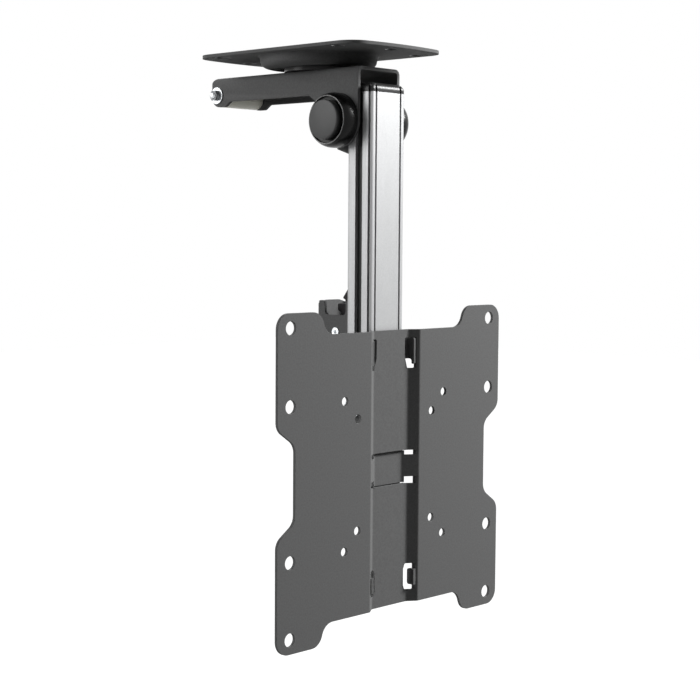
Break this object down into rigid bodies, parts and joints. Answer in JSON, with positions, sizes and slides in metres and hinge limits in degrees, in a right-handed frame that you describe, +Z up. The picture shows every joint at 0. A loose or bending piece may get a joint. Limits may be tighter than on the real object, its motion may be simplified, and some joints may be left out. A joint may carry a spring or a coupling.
{
  "type": "tv ceiling mount",
  "caption": "Fold-up ceiling mount for a small television: a swivelling steel arm, a hanging aluminium column that folds up, and a tilting screen plate.",
  "frame": {"origin": "on the swivel axis, at the top face of the ceiling plate", "axes": "+X along the fold axis, -Y towards the viewer of the screen, +Z up to the ceiling"},
  "size_m": [0.223, 0.1715, 0.395],
  "materials": {
    "black_steel": "fine black powder coat, satin",
    "satin_aluminium": "satin anodised",
    "black_plastic": "fine moulded texture",
    "zinc_steel": "zinc plated",
    "cream_plastic": "smooth cream nylon",
    "grey_nylon": "smooth nylon",
    "spring_steel": "drawn wire",
    "hook_steel": "dark grey coat"
  },
  "bodies": {
    "ceiling": {"ceiling_plate": "black_steel", "swivel_bolt": "zinc_steel", "swivel_head_washer": "zinc_steel", "swivel_nut_washer": "zinc_steel", "swivel_nut": "zinc_steel"},
    "arm": {"swivel_disc": "black_plastic", "top_arm": "black_steel", "catch_bolt": "zinc_steel", "catch_washers": "zinc_steel", "catch_nut": "zinc_steel", "catch_roller": "cream_plastic", "hinge_bolt": "zinc_steel", "hinge_nut": "zinc_steel", "hinge_washers": "zinc_steel", "hinge_cover_right": "black_plastic", "hinge_cover_left": "black_plastic", "hinge_cap_right": "black_plastic", "hinge_cap_left": "black_plastic"},
    "column": {"friction_disc_right": "grey_nylon", "friction_disc_left": "grey_nylon", "column": "satin_aluminium", "top_cap": "black_plastic", "bottom_cap": "black_plastic", "side_strip_right": "black_plastic", "side_strip_left": "black_plastic", "hinge_knuckle": "black_steel", "knuckle_screws": "zinc_steel", "rear_bracket": "black_steel", "bracket_screws": "zinc_steel", "lever_pin": "zinc_steel", "lever_spacers": "grey_nylon", "lever_spring": "spring_steel", "tilt_friction_discs": "grey_nylon"},
    "latch": {"hook_lever": "hook_steel"},
    "screen": {"tilt_bracket": "black_steel", "tilt_bolt": "zinc_steel", "tilt_nut": "zinc_steel", "tilt_washers": "zinc_steel", "screen_plate": "black_steel"}
  },
  "joints": [
    {"name": "arm_swivel", "type": "hinge", "parent": "ceiling", "child": "arm", "pos_m": [0, 0, 0], "axis": [0, 0, 1], "continuous": true},
    {"name": "column_fold", "type": "hinge", "parent": "arm", "child": "column", "pos_m": [0, -0.03945, -0.04935], "axis": [1, 0, 0], "range_deg": [0, 85]},
    {"name": "screen_tilt", "type": "hinge", "parent": "column", "child": "screen", "pos_m": [0, -0.05535, -0.2435], "axis": [1, 0, 0], "range_deg": [0, 15]},
    {"name": "hook_release", "type": "hinge", "parent": "column", "child": "latch", "pos_m": [0, -0.03225, -0.1932], "axis": [1, 0, 0], "range_deg": [0, 12], "stiffness_Nm_per_rad": 0.1, "springref_deg": -20.05, "deforming": ["lever_spring"]}
  ]
}
